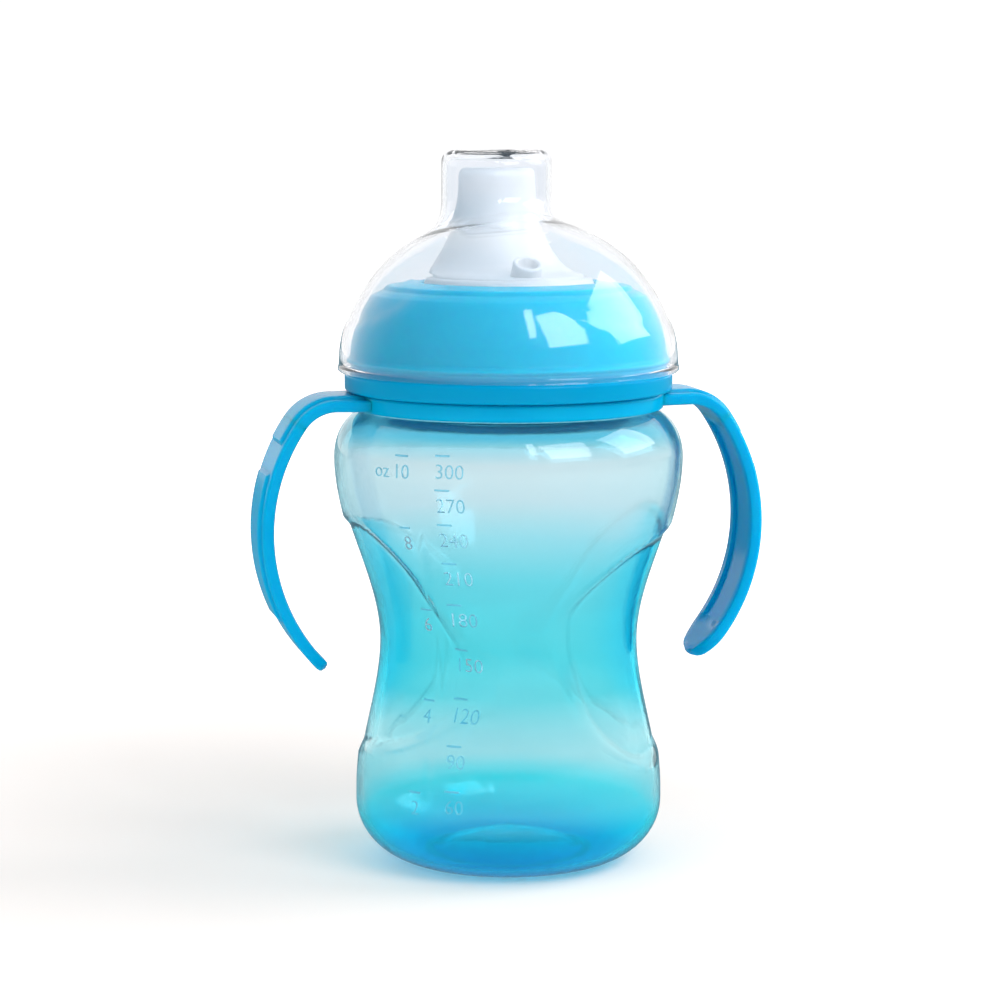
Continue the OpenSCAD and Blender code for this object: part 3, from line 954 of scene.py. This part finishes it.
def build_camera():
    """Looks at the cup from the front, a little from above."""
    right, front = camera_frame()
    data = bpy.data.cameras.new("camera")
    data.lens = FOCAL
    data.sensor_width = 36
    data.clip_start = 0.01
    camera = bpy.data.objects.new("camera", data)
    camera.location = front * (CAMERA_D * MM) + UP * (CAMERA_H * MM)
    bpy.context.scene.collection.objects.link(camera)
    look(camera, UP * (AIM_Z * MM) - right * (AIM_LEFT * MM))
    bpy.context.scene.camera = camera


def add_softbox(name, side, ahead, height, width, length, power):
    """An area light, placed in metres to the right of, ahead of and above the cup, aimed at it."""
    right, front = camera_frame()
    data = bpy.data.lights.new(name, "AREA")
    data.shape = "RECTANGLE"
    data.size = width
    data.size_y = length
    data.energy = power
    lamp = bpy.data.objects.new(name, data)
    lamp.location = right * side + front * ahead + UP * height
    bpy.context.scene.collection.objects.link(lamp)
    look(lamp, (0, 0, 0.09))
    return lamp


def build_studio(floor_material):
    bm = bmesh.new()
    bmesh.ops.create_circle(bm, cap_ends=True, segments=96, radius=3)
    mesh = bpy.data.meshes.new("floor")
    bm.to_mesh(mesh)
    bm.free()
    mesh.materials.append(floor_material)
    floor = bpy.data.objects.new("floor", mesh)
    bpy.context.scene.collection.objects.link(floor)

    world = bpy.data.worlds.new("studio")
    world.use_nodes = True
    bpy.context.scene.world = world
    nodes, links = world.node_tree.nodes, world.node_tree.links
    front = camera_frame()[1]
    sky = nodes["Background"]
    sky.inputs["Color"].default_value = (1, 0.97, 0.95, 1)
    sky.inputs["Strength"].default_value = 0.6
    backdrop = nodes.new("ShaderNodeBackground")
    backdrop.inputs["Color"].default_value = (1, 1, 1, 1)
    backdrop.inputs["Strength"].default_value = 1.04
    # Gloss and see-through pieces find a bright backdrop behind the cup, and a dim room in front of it
    room = nodes.new("ShaderNodeBackground")
    place = nodes.new("ShaderNodeTexCoord")
    facing = nodes.new("ShaderNodeVectorMath")
    facing.operation = "DOT_PRODUCT"
    facing.inputs[1].default_value = (UP * 0.3 - front * 0.95).normalized()
    links.new(place.outputs["Generated"], facing.inputs[0])
    glow = nodes.new("ShaderNodeMapRange")
    glow.inputs["From Min"].default_value = 0.1
    glow.inputs["From Max"].default_value = 0.8
    links.new(facing.outputs["Value"], glow.inputs["Value"])
    walls = nodes.new("ShaderNodeValToRGB")
    walls.color_ramp.elements[0].color = (0.12, 0.32, 0.46, 1)
    walls.color_ramp.elements[1].color = (1, 1, 1, 1)
    links.new(glow.outputs["Result"], walls.inputs["Fac"])
    links.new(walls.outputs["Color"], room.inputs["Color"])
    room.inputs["Strength"].default_value = 1.04
    path = nodes.new("ShaderNodeLightPath")
    soft = nodes.new("ShaderNodeMixShader")
    links.new(path.outputs["Is Diffuse Ray"], soft.inputs["Fac"])
    links.new(room.outputs["Background"], soft.inputs[1])
    links.new(sky.outputs["Background"], soft.inputs[2])
    blend = nodes.new("ShaderNodeMixShader")
    links.new(path.outputs["Is Camera Ray"], blend.inputs["Fac"])
    links.new(soft.outputs["Shader"], blend.inputs[1])
    links.new(backdrop.outputs["Background"], blend.inputs[2])
    links.new(blend.outputs["Shader"], nodes["World Output"].inputs["Surface"])

    add_softbox("window_front", 0.457, 0.49, 0.56, 0.40, 0.40, 2.7)
    add_softbox("window_strip", 0.20, 0.62, 0.66, 0.07, 0.36, 0.5)
    add_softbox("window_right", 0.68, -0.12, 0.52, 0.50, 0.46, 3.0)
    for lamp in (add_softbox("panel_left", -0.78, -0.10, 0.35, 0.50, 0.80, 0.3),
                 add_softbox("fill_left", -0.55, 0.60, 0.35, 0.50, 0.50, 1.3)):
        lamp.visible_glossy = False
        lamp.visible_transmission = False
    bpy.context.scene.view_settings.view_transform = "Standard"


made = build_materials()
build_bottle(made["bottle"])
build_scale(made["mark"])
build_handle_ring(made["cyan"])
build_collar(made["dome"])
build_spout(made["soft"], made["slit"])
build_overcap(made["clear"])
build_studio(made["floor"])
build_camera()
